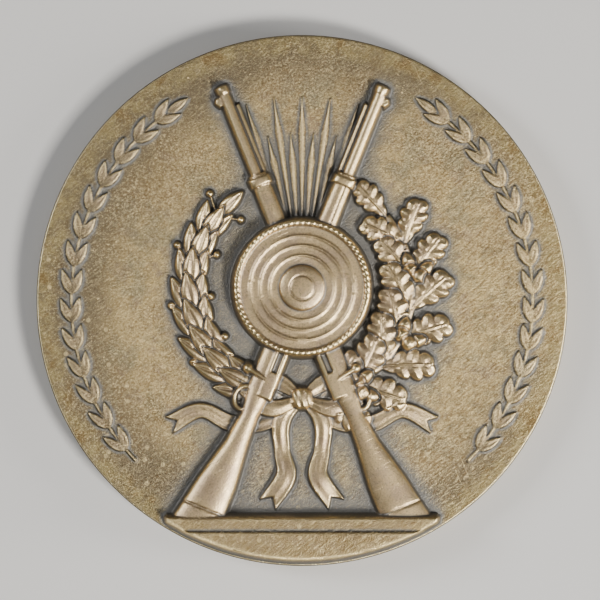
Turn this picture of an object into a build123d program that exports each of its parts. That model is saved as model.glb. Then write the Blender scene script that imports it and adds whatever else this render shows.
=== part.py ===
"""A struck silver shooting medal, lying on its plain reverse.

The medal is one solid: a round disc with a design raised on its upper face. The design is a marksmen's
trophy of common emblems. Two crossed rifles stand on a stepped plinth, a round target hangs where they
cross, a wreath of laurel and oak tied with a ribbon lies behind them, rays rise between the muzzles, and
a low laurel sprig follows the rim on each side.

Lengths are millimetres. The origin is the centre of the reverse, +Z points out of the struck face, and
+Y points to the top of the design. Everything raised starts a little under the face, so that it is one
body with the disc, and has no undercut, because a die has to lift off it.
"""

from build123d import *
import os
from math import atan2, cos, radians, sin, sqrt

# The disc
MEDAL_DIAMETER = 50.0
EDGE_THICKNESS = 3.2
EDGE_ROUND = 0.25
ROOT_DEPTH = 0.3

# The plinth: two steps
PLINTH_RISE = 4.7
PLINTH_STEP_RISE = 3.4
PLINTH_STEP_INSET = 1.0
PLINTH_RIM_GAP = 0.5
PLINTH_BACK_HEIGHT = 1.7
PLINTH_FRONT_HEIGHT = 2.0
PLINTH_ROUND = 0.15

# The target and its rings
TARGET_RISE = 1.2
TARGET_RADIUS = 6.4
TARGET_HEIGHT = 1.7
TARGET_MOULDING = 0.6
RING_WIDTH = 0.26
RING_HEIGHT = 0.12
RING_COUNT = 3
BULL_RADIUS = 2.1
BULL_HEIGHT = 0.5

# The crossed rifles
RIFLE_LEAN = 22.0
MUZZLE_INSET = 3.6
BUTT_SINK = 1.9
RIFLE_UNDER_HEIGHT = 1.3
RIFLE_OVER_HEIGHT = 1.55
STOCK_ROUND = 0.35
BARREL_RADIUS = 0.62
BAND_LENGTH = 0.8
BAND_PROUD = 0.14
GUARD_RADIUS = 1.05
GUARD_THICKNESS = 0.3
BOLT_LENGTH = 1.85
BOLT_RADIUS = 0.2
BOLT_BALL_RADIUS = 0.46
SIGHT_LENGTH = 0.8
SIGHT_HEIGHT = 0.45

# The wreath behind them
WREATH_RADIUS = 10.4
WREATH_START = 10.0
WREATH_END = 130.0
WREATH_STEM_WIDTH = 0.7
WREATH_STEM_HEIGHT = 0.55
LAUREL_LENGTH = 4.2
LAUREL_WIDTH = 1.7
LAUREL_STATIONS = 9
LAUREL_SPREAD = 30.0
OAK_LENGTH = 5.1
OAK_WIDTH = 3.1
OAK_STATIONS = 7
OAK_SPREAD = 34.0
LEAF_WALL = 0.4
LEAF_CREST = 0.85
TOP_LEAF_LIFT = 0.15
ACORN_LENGTH = 2.2
ACORN_RADIUS = 0.72
ACORN_LIFT = 0.75

# The ribbon that ties it
RIBBON_WIDTH = 1.6
BOW_REACH = 5.6
BOW_HEIGHT = 1.05
KNOT_RADIUS = 1.0
KNOT_HEIGHT = 1.35
TAIL_DROP = 9.4
TAIL_SWING = 3.4
TAIL_HEIGHT = 0.75
STREAMER_REACH = 12.5
STREAMER_HEIGHT = 0.6
FORK_DEPTH = 0.9

# The rays between the muzzles
RAY_COUNT = 9
RAY_FAN = 34.0
RAY_LONG = 18.0
RAY_SHORT = 14.6
RAY_WIDTH = 0.75
RAY_CREST = 0.36

# The sprig along each side of the rim
SPRIG_INSET = 3.3
SPRIG_START = -44.0
SPRIG_END = 54.0
SPRIG_STATIONS = 14
SPRIG_LEAF_LENGTH = 2.5
SPRIG_LEAF_WIDTH = 0.9
SPRIG_SPREAD = 27.0
SPRIG_STEM_WIDTH = 0.32
SPRIG_STEM_HEIGHT = 0.16
SPRIG_WALL = 0.1
SPRIG_CREST = 0.32

# The stock's outline: shares of the rifle's length, from the butt towards the muzzle
STOCK_ROWS = (
    # along, top, belly
    (0.000, 0.030, 0.074),
    (0.115, 0.028, 0.052),
    (0.205, 0.019, 0.029),
    (0.270, 0.016, 0.021),
    (0.330, 0.024, 0.029),
    (0.440, 0.024, 0.029),
    (0.620, 0.020, 0.025),
    (0.805, 0.017, 0.021),
)
BARREL_START_SHARE = 0.44
BAND_SHARES = (0.600, 0.790)
GUARD_SHARE = 0.300
BOLT_SHARE = 0.352
REAR_SIGHT_SHARE = 0.490
FRONT_SIGHT_SHARE = 0.972

# Outlines of leaves, an acorn and a ray, from the stalk or root to the tip: shares of the length and half
# the width
PETAL_ROWS = (
    # along, half width
    (0.00, 0.06),
    (0.20, 0.66),
    (0.48, 1.00),
    (0.80, 0.62),
    (1.00, 0.04),
)
OAK_ROWS = (
    # along, half width
    (0.02, 0.10),
    (0.13, 0.36),
    (0.24, 0.42),
    (0.29, 0.72),
    (0.37, 0.84),
    (0.45, 0.76),
    (0.48, 0.54),
    (0.53, 0.84),
    (0.61, 0.95),
    (0.69, 0.84),
    (0.72, 0.50),
    (0.81, 0.62),
    (0.88, 0.61),
    (0.95, 0.45),
    (1.00, 0.16),
)
ACORN_ROWS = (
    # along, half width: the cup, its lip and the nut
    (0.00, 0.30),
    (0.10, 0.80),
    (0.28, 1.00),
    (0.44, 1.00),
    (0.45, 0.84),
    (0.70, 0.72),
    (0.90, 0.38),
    (1.00, 0.08),
)
RAY_ROWS = (
    # along, half width
    (0.25, 0.30),
    (0.82, 1.00),
    (1.00, 0.04),
)
LEAF_PEAK_SHARE = 0.42

# The ribbon's runs, from the knot outwards on the right: shares of the run's reach and drop, and of the
# ribbon's width
BOW_TOP_ROWS = (
    # across, up, half width
    (0.00, 0.00, 0.20),
    (0.36, 0.26, 0.46),
    (0.74, 0.36, 0.50),
    (1.00, 0.12, 0.40),
)
BOW_FRONT_ROWS = (
    # across, up, half width
    (0.00, 0.00, 0.20),
    (0.50, -0.16, 0.50),
    (0.98, 0.04, 0.50),
)
TAIL_ROWS = (
    # across, up, half width
    (0.00, 0.00, 0.22),
    (0.55, -0.22, 0.50),
    (0.55, -0.52, 0.44),
    (0.45, -0.78, 0.56),
    (0.95, -1.06, 0.56),
)
STREAMER_ROWS = (
    # across, up, half width
    (0.00, 0.00, 0.22),
    (0.26, -0.17, 0.47),
    (0.52, -0.19, 0.50),
    (0.76, -0.09, 0.40),
    (1.00, -0.20, 0.53),
)

# What follows from those sizes
medal_radius = MEDAL_DIAMETER / 2
face_z = EDGE_THICKNESS
root_z = face_z - ROOT_DEPTH
plinth_top_y = PLINTH_RISE - medal_radius
muzzle_reach = medal_radius - MUZZLE_INSET
lean_sin = sin(radians(RIFLE_LEAN))
lean_cos = cos(radians(RIFLE_LEAN))
above_cross = sqrt(muzzle_reach**2 - (TARGET_RISE * lean_sin) ** 2) - TARGET_RISE * lean_cos
below_cross = (TARGET_RISE - plinth_top_y + BUTT_SINK) / lean_cos
rifle_length = above_cross + below_cross
knot_y = TARGET_RISE - WREATH_RADIUS


def leaf_outline(rows, length, width):
    """A leaf from the origin along +X, the same on both sides of its midrib."""
    half = width / 2
    upper = [(along * length, share * half) for along, share in rows]
    with BuildSketch() as outline:
        Polygon(upper + [(x, -y) for x, y in reversed(upper)], align=None)
    return outline.sketch


def ridged(outline, length, wall, crest):
    """A leaf or ray of that outline: upright walls, then faces that rise to one point on its midrib."""
    shoulder = ROOT_DEPTH + wall
    with BuildPart() as blank:
        with BuildSketch():
            add(outline)
        extrude(amount=shoulder)
        with BuildSketch(Plane.XY.offset(shoulder)) as crown:
            add(outline)
        loft(sections=[crown.sketch.face(), Vertex(LEAF_PEAK_SHARE * length, 0, ROOT_DEPTH + crest)])
    return blank.part


def arc_stem(centre_y, radius, start, end, width, height):
    """A stem of that width that follows a circle about (0, centre_y) from one angle to another."""
    with BuildPart() as stem:
        with BuildSketch(Plane.XY.offset(root_z)):
            with BuildLine() as line:
                CenterArc((0, centre_y), radius, start, end - start)
            trace(line.line, width)
        extrude(amount=ROOT_DEPTH + height, dir=(0, 0, 1))
    return stem.part


def on_arc(centre_y, radius, angle, turn, lift=0.0):
    """A place on a circle about (0, centre_y), at an angle from +X, with its own +X turned to turn."""
    x = radius * cos(radians(angle))
    y = centre_y + radius * sin(radians(angle))
    return Location((x, y, root_z + lift), (0, 0, turn))


# The disc: two flat faces and a rounded edge
with BuildPart() as disc:
    Cylinder(medal_radius, EDGE_THICKNESS, align=(Align.CENTER, Align.CENTER, Align.MIN))
    fillet(disc.edges().filter_by(GeomType.CIRCLE), EDGE_ROUND)


def plinth_step(rise, inset, height):
    """One step: the stretch of the disc under a level line, as tall as height over the face."""
    top_y = rise - medal_radius
    outer = medal_radius - PLINTH_RIM_GAP
    half_width = sqrt(outer**2 - top_y**2) - inset
    with BuildPart() as step:
        with BuildSketch(Plane.XY.offset(root_z)):
            Circle(outer)
            with Locations((0, top_y)):
                Rectangle(2 * half_width, outer, align=(Align.CENTER, Align.MAX), mode=Mode.INTERSECT)
        extrude(amount=ROOT_DEPTH + height)
        chamfer(step.faces().sort_by(Axis.Z)[-1].edges(), PLINTH_ROUND)
    return step.part


plinth_steps = [
    plinth_step(PLINTH_RISE, PLINTH_STEP_INSET, PLINTH_BACK_HEIGHT),
    plinth_step(PLINTH_STEP_RISE, 0.0, PLINTH_FRONT_HEIGHT),
]

# The target: a round board with a moulded rim, raised rings and a domed bull's-eye, turned in one profile
board_z = face_z + TARGET_HEIGHT
ring_pitch = (TARGET_RADIUS - TARGET_MOULDING - BULL_RADIUS) / (RING_COUNT + 1)
dome_radius = (BULL_RADIUS**2 + BULL_HEIGHT**2) / (2 * BULL_HEIGHT)
with BuildSketch(Plane.XZ) as bull_profile:
    with Locations((0, board_z + BULL_HEIGHT - dome_radius)):
        Circle(dome_radius)
    with Locations((0, board_z)):
        Rectangle(BULL_RADIUS, BULL_HEIGHT, align=Align.MIN, mode=Mode.INTERSECT)
with BuildPart() as target:
    with BuildSketch(Plane.XZ):
        with Locations((0, root_z)):
            Rectangle(TARGET_RADIUS, board_z - root_z, align=Align.MIN)
        for ring in range(RING_COUNT):
            with Locations((BULL_RADIUS + ring_pitch * (ring + 1), board_z)):
                Rectangle(RING_WIDTH, 2 * RING_HEIGHT)
        with Locations((TARGET_RADIUS - TARGET_MOULDING / 2, board_z)):
            RegularPolygon(TARGET_MOULDING / 2, 8, major_radius=False, rotation=22.5)
        add(bull_profile.sketch)
    revolve(axis=Axis.Z)


def stock_edges(share):
    """How far the stock's top and belly lie from the barrel's axis, at a share of the rifle's length."""
    for near, far in zip(STOCK_ROWS, STOCK_ROWS[1:]):
        if near[0] <= share <= far[0]:
            between = (share - near[0]) / (far[0] - near[0])
            top = near[1] + between * (far[1] - near[1])
            belly = near[2] + between * (far[2] - near[2])
    return top * rifle_length, belly * rifle_length


def rifle(height):
    """A rifle seen from its side, butt at the origin, muzzle along +X and sights to +Y."""
    rise = ROOT_DEPTH + height
    with BuildPart() as gun:
        for along, top, belly in STOCK_ROWS:
            high, low = top * rifle_length, -belly * rifle_length
            with BuildSketch(Plane.YZ.offset(along * rifle_length)):
                with BuildLine():
                    Polyline(
                        (low, 0), (high, 0), (high, rise - STOCK_ROUND), (high - STOCK_ROUND, rise),
                        (low + STOCK_ROUND, rise), (low, rise - STOCK_ROUND), close=True,
                    )
                make_face()
        loft(ruled=True)
        barrel_start = BARREL_START_SHARE * rifle_length
        with BuildSketch(Plane.YZ.offset(barrel_start)):
            with Locations((0, rise - BARREL_RADIUS)):
                Circle(BARREL_RADIUS)
            Rectangle(2 * BARREL_RADIUS, rise - BARREL_RADIUS, align=(Align.CENTER, Align.MIN))
        extrude(amount=rifle_length - barrel_start)
        for share in BAND_SHARES:
            top, belly = stock_edges(share)
            with BuildSketch(Plane.YZ.offset(share * rifle_length - BAND_LENGTH / 2)):
                with Locations((top + BAND_PROUD, 0)):
                    Rectangle(
                        top + belly + 2 * BAND_PROUD, rise + BAND_PROUD, align=(Align.MAX, Align.MIN)
                    )
            extrude(amount=BAND_LENGTH)
        with BuildSketch():
            with Locations((GUARD_SHARE * rifle_length, -stock_edges(GUARD_SHARE)[1])):
                Circle(GUARD_RADIUS)
                Circle(GUARD_RADIUS - GUARD_THICKNESS, mode=Mode.SUBTRACT)
        extrude(amount=rise - STOCK_ROUND)
        with BuildSketch():
            with Locations((BOLT_SHARE * rifle_length, 0)):
                Rectangle(2 * BOLT_RADIUS, BOLT_LENGTH, align=(Align.CENTER, Align.MAX))
            with Locations((BOLT_SHARE * rifle_length, -BOLT_LENGTH)):
                Circle(BOLT_BALL_RADIUS)
        extrude(amount=rise + BOLT_RADIUS)
        with BuildSketch():
            with Locations((REAR_SIGHT_SHARE * rifle_length, 0), (FRONT_SIGHT_SHARE * rifle_length, 0)):
                Rectangle(SIGHT_LENGTH, BARREL_RADIUS + SIGHT_HEIGHT, align=(Align.CENTER, Align.MIN))
        extrude(amount=rise - BARREL_RADIUS)
    return gun.part


# The rifles lean past each other, bellies outwards, with their butts down behind the plinth's top edge
butt_x = below_cross * lean_sin
butt_y = TARGET_RISE - below_cross * lean_cos
rifle_under = rifle(RIFLE_UNDER_HEIGHT)
rifle_over = mirror(rifle(RIFLE_OVER_HEIGHT), about=Plane.XZ)
with BuildPart() as rifles:
    with Locations(Location((butt_x, butt_y, root_z), (0, 0, 90 + RIFLE_LEAN))):
        add(rifle_under)
    with Locations(Location((-butt_x, butt_y, root_z), (0, 0, 90 - RIFLE_LEAN))):
        add(rifle_over)


def wreath_angles(stations):
    """How far round from the wreath's foot each station of a branch lies, the branch's tip last."""
    step = (WREATH_END - WREATH_START) / stations
    return [WREATH_START + step * station for station in range(stations + 1)]


def wreath_stem(side):
    """The stem of the branch on the left (-1) or right (1) side, from the foot to its last leaf."""
    sweep = side * WREATH_END
    return arc_stem(
        TARGET_RISE, WREATH_RADIUS, -90, -90 + sweep, WREATH_STEM_WIDTH, WREATH_STEM_HEIGHT
    )


# The laurel branch goes up the left side, three leaves to a station and one at its tip
laurel_leaf = ridged(
    leaf_outline(PETAL_ROWS, LAUREL_LENGTH, LAUREL_WIDTH), LAUREL_LENGTH, LEAF_WALL, LEAF_CREST
)
laurel_stem = wreath_stem(-1)
laurel_angles = wreath_angles(LAUREL_STATIONS)
with BuildPart() as laurel:
    add(laurel_stem)
    with Locations([
        on_arc(TARGET_RISE, WREATH_RADIUS, -90 - angle, 180 - angle + turn)
        for angle in laurel_angles[:-1]
        for turn in (-LAUREL_SPREAD, LAUREL_SPREAD)
    ] + [
        on_arc(TARGET_RISE, WREATH_RADIUS, -90 - angle, 180 - angle, TOP_LEAF_LIFT)
        for angle in laurel_angles
    ]):
        add(laurel_leaf)

# The oak branch goes up the right side, two leaves to a station, one at its tip, and acorns between
oak_leaf = ridged(leaf_outline(OAK_ROWS, OAK_LENGTH, OAK_WIDTH), OAK_LENGTH, LEAF_WALL, LEAF_CREST)
oak_stem = wreath_stem(1)
oak_angles = wreath_angles(OAK_STATIONS)
acorn_outline = leaf_outline(ACORN_ROWS, ACORN_LENGTH, 2 * ACORN_RADIUS)
with BuildPart() as acorn:
    with BuildSketch(Plane.XY.offset(ROOT_DEPTH + ACORN_LIFT)):
        add(acorn_outline)
        Rectangle(2 * ACORN_LENGTH, ACORN_LENGTH, align=(Align.CENTER, Align.MAX), mode=Mode.SUBTRACT)
    revolve(axis=Axis((0, 0, ROOT_DEPTH + ACORN_LIFT), (1, 0, 0)))
    with BuildSketch():
        add(acorn_outline)
    extrude(amount=ROOT_DEPTH + ACORN_LIFT)
with BuildPart() as oak:
    add(oak_stem)
    with Locations([
        on_arc(TARGET_RISE, WREATH_RADIUS, angle - 90, angle + turn, lift)
        for angle in oak_angles[:-1]
        for turn, lift in ((-OAK_SPREAD, 0.0), (OAK_SPREAD, TOP_LEAF_LIFT))
    ] + [on_arc(TARGET_RISE, WREATH_RADIUS, oak_angles[-1] - 90, oak_angles[-1])]):
        add(oak_leaf)
    with Locations([
        on_arc(TARGET_RISE, WREATH_RADIUS, angle - 90, angle) for angle in oak_angles[1:-1:2]
    ]):
        add(acorn.part)

# The low sprigs along the rim, in pairs of narrow leaves with one at the tip
sprig_leaf = ridged(
    leaf_outline(PETAL_ROWS, SPRIG_LEAF_LENGTH, SPRIG_LEAF_WIDTH), SPRIG_LEAF_LENGTH, SPRIG_WALL,
    SPRIG_CREST,
)
sprig_radius = medal_radius - SPRIG_INSET
sprig_stem = arc_stem(0, sprig_radius, SPRIG_START, SPRIG_END, SPRIG_STEM_WIDTH, SPRIG_STEM_HEIGHT)
sprig_step = (SPRIG_END - SPRIG_START) / SPRIG_STATIONS
sprig_angles = [SPRIG_START + sprig_step * (station + 0.5) for station in range(SPRIG_STATIONS)]
with BuildPart() as sprig:
    add(sprig_stem)
    with Locations([
        on_arc(0, sprig_radius, angle, angle + 90 + turn)
        for angle in sprig_angles
        for turn in (-SPRIG_SPREAD, SPRIG_SPREAD)
    ] + [on_arc(0, sprig_radius, SPRIG_END, SPRIG_END + 90)]):
        add(sprig_leaf)


# The rays fan out between the muzzles, long and short in turn
ray_turns = [90 + RAY_FAN * (ray / (RAY_COUNT - 1) - 0.5) for ray in range(RAY_COUNT)]
long_ray = ridged(leaf_outline(RAY_ROWS, RAY_LONG, RAY_WIDTH), RAY_LONG, SPRIG_WALL, RAY_CREST)
short_ray = ridged(leaf_outline(RAY_ROWS, RAY_SHORT, RAY_WIDTH), RAY_SHORT, SPRIG_WALL, RAY_CREST)
with BuildPart() as rays:
    with Locations([on_arc(TARGET_RISE, 0.0, turn, turn) for turn in ray_turns[::2]]):
        add(long_ray)
    with Locations([on_arc(TARGET_RISE, 0.0, turn, turn) for turn in ray_turns[1::2]]):
        add(short_ray)


def band(rows, side, reach, drop, height, fork=0.0):
    """A run of ribbon on one side, from the knot along the rows' middle line, forked or cut square."""
    middle = [(side * row[0] * reach, knot_y + row[1] * drop) for row in rows]
    halves = [row[2] * RIBBON_WIDTH for row in rows]
    edges = {1: [], -1: []}
    for place, (x, y) in enumerate(middle):
        before = middle[max(place - 1, 0)]
        after = middle[min(place + 1, len(middle) - 1)]
        heading = atan2(after[1] - before[1], after[0] - before[0])
        for edge in edges:
            edges[edge].append((
                x - edge * halves[place] * sin(heading),
                y + edge * halves[place] * cos(heading),
            ))
    notch = (middle[-1][0] - fork * cos(heading), middle[-1][1] - fork * sin(heading))
    with BuildPart() as strip:
        with BuildSketch(Plane.XY.offset(root_z)):
            with BuildLine():
                Spline(edges[1])
                Polyline(edges[1][-1], notch, edges[-1][-1])
                Spline(edges[-1])
                Line(edges[-1][0], edges[1][0])
            make_face()
        extrude(amount=ROOT_DEPTH + height, dir=(0, 0, 1))
    return strip.part


# The ribbon: a bow at the wreath's foot, two forked tails and two forked streamers
ribbon_runs = []
for side in (-1, 1):
    ribbon_runs += [
        band(BOW_TOP_ROWS, side, BOW_REACH, BOW_REACH, BOW_HEIGHT - TOP_LEAF_LIFT),
        band(BOW_FRONT_ROWS, side, BOW_REACH, BOW_REACH, BOW_HEIGHT),
        band(TAIL_ROWS, side, TAIL_SWING, TAIL_DROP, TAIL_HEIGHT, FORK_DEPTH),
        band(STREAMER_ROWS, side, STREAMER_REACH, STREAMER_REACH, STREAMER_HEIGHT, FORK_DEPTH),
    ]
with BuildPart() as ribbon:
    with BuildSketch(Plane.XY.offset(root_z)):
        with Locations((0, knot_y)):
            Circle(KNOT_RADIUS)
    extrude(amount=ROOT_DEPTH + KNOT_HEIGHT)
    add(ribbon_runs)

# The medal: everything raised is one body with the disc
left_sprig = mirror(sprig.part, about=Plane.YZ)
hung_target = target.part.moved(Location((0, TARGET_RISE, 0)))
with BuildPart() as medal:
    add([
        disc.part, *plinth_steps, rays.part, sprig.part, left_sprig, laurel.part, oak.part, ribbon.part,
        rifles.part, hung_target,
    ])

medal.part.label = "medal"
os.makedirs("parts", exist_ok=True)
export_step(medal.part, "parts/medal.step")
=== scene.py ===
"""Dresses the struck silver medal: its relief as one closed mesh, toned silver, floor, lights and camera.

The relief is worked out as heights over the field on a fine grid, from the same named sizes as the solid,
and then meshed with triangles that are small only where the heights or the toning change. Lengths are in
millimetres until a mesh, light or camera takes metres. +X is right and +Y is the top of the design.
"""

from math import cos, pi, radians, sin, sqrt

import bpy
import numpy as np
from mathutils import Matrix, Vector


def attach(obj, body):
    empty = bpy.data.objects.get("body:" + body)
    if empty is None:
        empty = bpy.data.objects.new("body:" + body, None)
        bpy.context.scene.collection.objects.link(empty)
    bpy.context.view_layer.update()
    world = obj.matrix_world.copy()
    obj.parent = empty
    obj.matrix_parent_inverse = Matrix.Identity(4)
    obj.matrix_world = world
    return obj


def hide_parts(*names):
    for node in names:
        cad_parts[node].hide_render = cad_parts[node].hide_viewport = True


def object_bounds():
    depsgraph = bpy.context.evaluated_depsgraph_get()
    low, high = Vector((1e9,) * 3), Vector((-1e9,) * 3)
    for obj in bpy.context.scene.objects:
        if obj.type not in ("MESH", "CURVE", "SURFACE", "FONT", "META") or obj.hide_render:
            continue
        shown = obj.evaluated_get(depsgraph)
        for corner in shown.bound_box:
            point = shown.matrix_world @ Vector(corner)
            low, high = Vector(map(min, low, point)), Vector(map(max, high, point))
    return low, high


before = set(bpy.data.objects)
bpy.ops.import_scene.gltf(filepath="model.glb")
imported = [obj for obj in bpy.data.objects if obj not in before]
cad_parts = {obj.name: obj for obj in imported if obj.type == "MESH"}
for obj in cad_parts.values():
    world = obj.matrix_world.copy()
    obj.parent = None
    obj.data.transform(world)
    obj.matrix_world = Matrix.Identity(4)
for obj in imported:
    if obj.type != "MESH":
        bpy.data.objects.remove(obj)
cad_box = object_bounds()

MM = 0.001

# The disc, as the frame gives it
medal_radius = (cad_box[1][0] - cad_box[0][0]) / 2 / MM
EDGE_THICKNESS = 3.2
EDGE_ROUND = 0.25
field_radius = medal_radius - EDGE_ROUND

# The plinth
PLINTH_RISE = 4.7
PLINTH_STEP_RISE = 3.4
PLINTH_STEP_INSET = 1.0
PLINTH_RIM_GAP = 0.5
PLINTH_BACK_HEIGHT = 1.7
PLINTH_FRONT_HEIGHT = 2.0
PLINTH_ROUND = 0.3

# Unevenness: how far its waves reach and their usual height
PLINTH_WAVES = (0.7, 0.010)
FIELD_WAVES = (2.2, 0.008)

# The target and its rings
TARGET_RISE = 1.2
TARGET_RADIUS = 6.4
TARGET_HEIGHT = 1.7
TARGET_MOULDING = 0.6
ROPE_TURNS = 72
ROPE_TWIST = 2.6
RING_WIDTH = 0.26
RING_HEIGHT = 0.12
RING_COUNT = 3
BULL_RADIUS = 2.1
BULL_HEIGHT = 0.5
BULL_STEP = 0.1
BULL_GROOVE = (0.12, 0.07)

# The crossed rifles
RIFLE_LEAN = 22.0
MUZZLE_INSET = 3.6
BUTT_SINK = 1.9
RIFLE_UNDER_HEIGHT = 1.3
RIFLE_OVER_HEIGHT = 1.55
STOCK_DEPTH = 0.75
BUTT_PLATE = 2.6
PLATE_LINE = (0.13, 0.10)
HAND_GROOVE = (0.12, 0.07)
PORT_UP = 0.52
PORT_HALF = 0.28
PORT_DEPTH = 0.22
BARREL_RADIUS = 0.62
BARREL_TAPER = 0.16
CROWN_SWELL = 1.14
ROD_RADIUS = 0.18
ROD_GAP = 0.2
ROD_DEPTH = 0.8
BAND_LENGTH = 0.8
BAND_PROUD = 0.14
GUARD_RADIUS = 1.05
GUARD_THICKNESS = 0.3
GUARD_DEPTH = 0.45
GUARD_STRETCH = 1.25
TRIGGER_HALF = 0.11
BOLT_LENGTH = 1.85
BOLT_RADIUS = 0.2
BOLT_BALL_RADIUS = 0.46
SIGHT_LENGTH = 0.8
SIGHT_HEIGHT = 0.45
SIGHT_DEPTH = 0.35

# The wreath behind them
WREATH_RADIUS = 10.4
WREATH_START = 10.0
WREATH_END = 130.0
WREATH_STEM_WIDTH = 0.7
WREATH_STEM_HEIGHT = 0.55
LAUREL_LENGTH = 4.2
LAUREL_WIDTH = 1.7
LAUREL_STATIONS = 9
LAUREL_SPREAD = 30.0
BERRY_RADIUS = 0.36
BERRY_REACH = 2.25
BERRY_HEIGHT = 0.5
STALK_HALF = 0.11
STALK_HEIGHT = 0.1
OAK_LENGTH = 5.1
OAK_WIDTH = 3.1
OAK_STATIONS = 7
OAK_SPREAD = 34.0
LEAF_WALL = 0.3
LEAF_CREST = 0.85
TOP_LEAF_LIFT = 0.15
CUT_WIDTH = 0.15
CUT_DEPTH = 0.26
LEAF_BASE_RISE = 0.12
LEAF_TOP_SHARE = 0.7
LEAF_TIP_DROP = 0.8
VEIN_HEIGHT = 0.04
LOBE_SWELL = 0.05
MIDRIB_HEIGHT = 0.075
ACORN_LENGTH = 2.2
ACORN_RADIUS = 0.72
ACORN_LIFT = 0.75
ACORN_POINT = (0.16, 0.12)
SCALE_HEIGHT = 0.05
SCALE_PITCH = (0.24, 0.26)

# The ribbon that ties it
RIBBON_WIDTH = 1.6
BOW_REACH = 5.6
BOW_HEIGHT = 1.05
KNOT_RADIUS = 1.0
KNOT_HEIGHT = 1.35
TAIL_DROP = 9.4
TAIL_SWING = 3.4
TAIL_HEIGHT = 0.75
STREAMER_REACH = 12.5
STREAMER_HEIGHT = 0.6
FORK_DEPTH = 0.9
FOLD_HEIGHT = 0.05
CREASE_HEIGHT = 0.06

# The rays between the muzzles
RAY_COUNT = 9
RAY_FAN = 34.0
RAY_LONG = 18.0
RAY_SHORT = 14.6
RAY_WIDTH = 0.75
RAY_CREST = 0.36

# The sprig along each side of the rim
SPRIG_INSET = 3.3
SPRIG_START = -44.0
SPRIG_END = 54.0
SPRIG_STATIONS = 14
SPRIG_LEAF_LENGTH = 2.5
SPRIG_LEAF_WIDTH = 0.9
SPRIG_SPREAD = 27.0
SPRIG_STEM_WIDTH = 0.32
SPRIG_STEM_HEIGHT = 0.16
SPRIG_WALL = 0.1
SPRIG_CREST = 0.32

# The stock's outline: shares of the rifle's length, from the butt towards the muzzle
STOCK_ROWS = (
    # along, top, belly
    (0.000, 0.030, 0.074),
    (0.115, 0.028, 0.052),
    (0.205, 0.019, 0.029),
    (0.270, 0.016, 0.021),
    (0.330, 0.024, 0.029),
    (0.440, 0.024, 0.029),
    (0.620, 0.020, 0.025),
    (0.805, 0.017, 0.021),
)
BARREL_START_SHARE = 0.44
BAND_SHARES = (0.600, 0.790)
GUARD_SHARE = 0.300
BOLT_SHARE = 0.352
SIGHT_SHARES = (0.490, 0.972)
LOCK_SPAN = (0.315, 0.460)
PORT_SPAN = (0.370, 0.415)
HAND_GROOVE_SPAN = (0.470, 0.785)
ROD_SPAN = (0.800, 0.955)
CROWN_SPAN = (0.986, 1.0)

# An acorn's ovals: middle and half length, to its length, and half width, to its radius
NUT = (0.55, 0.50, 0.90)
CUP = (0.27, 0.32, 1.05)

# An oak leaf's lobes: shares of its length and half its width
OAK_LOBES = (
    # from, half width there, to, half width there, half width between
    (0.02, 0.10, 0.24, 0.42, 0.40),
    (0.24, 0.42, 0.48, 0.54, 0.86),
    (0.48, 0.54, 0.72, 0.50, 0.97),
    (0.72, 0.50, 1.00, 0.16, 0.70),
)

# The ribbon's runs, from the knot outwards on the right. Columns: across and up, as shares of the run's
# reach and drop; half width, as a share of the ribbon's; how far it stands up, as a share of its height
BOW_TOP_ROWS = (
    (0.00, 0.00, 0.20, 0.85),
    (0.36, 0.26, 0.46, 0.75),
    (0.74, 0.36, 0.50, 0.80),
    (1.00, 0.12, 0.40, 0.85),
)
BOW_FRONT_ROWS = (
    (0.00, 0.00, 0.20, 0.90),
    (0.50, -0.16, 0.50, 1.00),
    (0.98, 0.04, 0.50, 0.80),
)
TAIL_ROWS = (
    (0.00, 0.00, 0.22, 1.00),
    (0.55, -0.22, 0.50, 0.95),
    (0.55, -0.52, 0.44, 0.55),
    (0.45, -0.78, 0.56, 1.00),
    (0.95, -1.06, 0.56, 0.60),
)
STREAMER_ROWS = (
    (0.00, 0.00, 0.22, 1.00),
    (0.26, -0.17, 0.47, 0.90),
    (0.52, -0.19, 0.50, 0.60),
    (0.76, -0.09, 0.40, 0.95),
    (1.00, -0.20, 0.53, 0.55),
)

# What follows from those sizes
plinth_top = PLINTH_RISE - medal_radius
knot_y = TARGET_RISE - WREATH_RADIUS
lean_sin = sin(radians(RIFLE_LEAN))
lean_cos = cos(radians(RIFLE_LEAN))
muzzle_reach = medal_radius - MUZZLE_INSET
above_cross = sqrt(muzzle_reach**2 - (TARGET_RISE * lean_sin) ** 2) - TARGET_RISE * lean_cos
below_cross = (TARGET_RISE - PLINTH_RISE + medal_radius + BUTT_SINK) / lean_cos
rifle_length = above_cross + below_cross


# The heights and how forms are laid on them

GRID_STEP = 0.03
GRID_MARGIN = 0.4
grid_axis = np.arange(-medal_radius - GRID_MARGIN, medal_radius + GRID_MARGIN, GRID_STEP).astype(np.float32)
grid_x, grid_y = np.meshgrid(grid_axis, grid_axis)
grid_radius = np.hypot(grid_x, grid_y)
heights = np.zeros_like(grid_x)
WHOLE = (slice(None), slice(None))


def window(low_x, low_y, high_x, high_y):
    """The grid between two corners."""
    spans = np.searchsorted(grid_axis, [[low_y, high_y], [low_x, high_x]])
    return tuple(slice(max(start - 1, 0), end + 1) for start, end in spans)


def window_round(x, y, reach):
    """The grid within a reach of a place."""
    return window(x - reach, y - reach, x + reach, y + reach)


def within(value, low, high):
    """Where a value lies between two others."""
    return (value > low) & (value < high)


def turned(where, x, y, angle):
    """Distances along and across a line from x, y at that angle from +X."""
    c, s = cos(radians(angle)), sin(radians(angle))
    dx, dy = grid_x[where] - x, grid_y[where] - y
    return dx * c + dy * s, dy * c - dx * s


def lay(where, inside, height, ply=0.0):
    """Raises the heights inside a form, at least a ply over what lies there."""
    below = heights[where]
    heights[where] = np.where(inside, np.maximum(height, below + ply), below)


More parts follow.
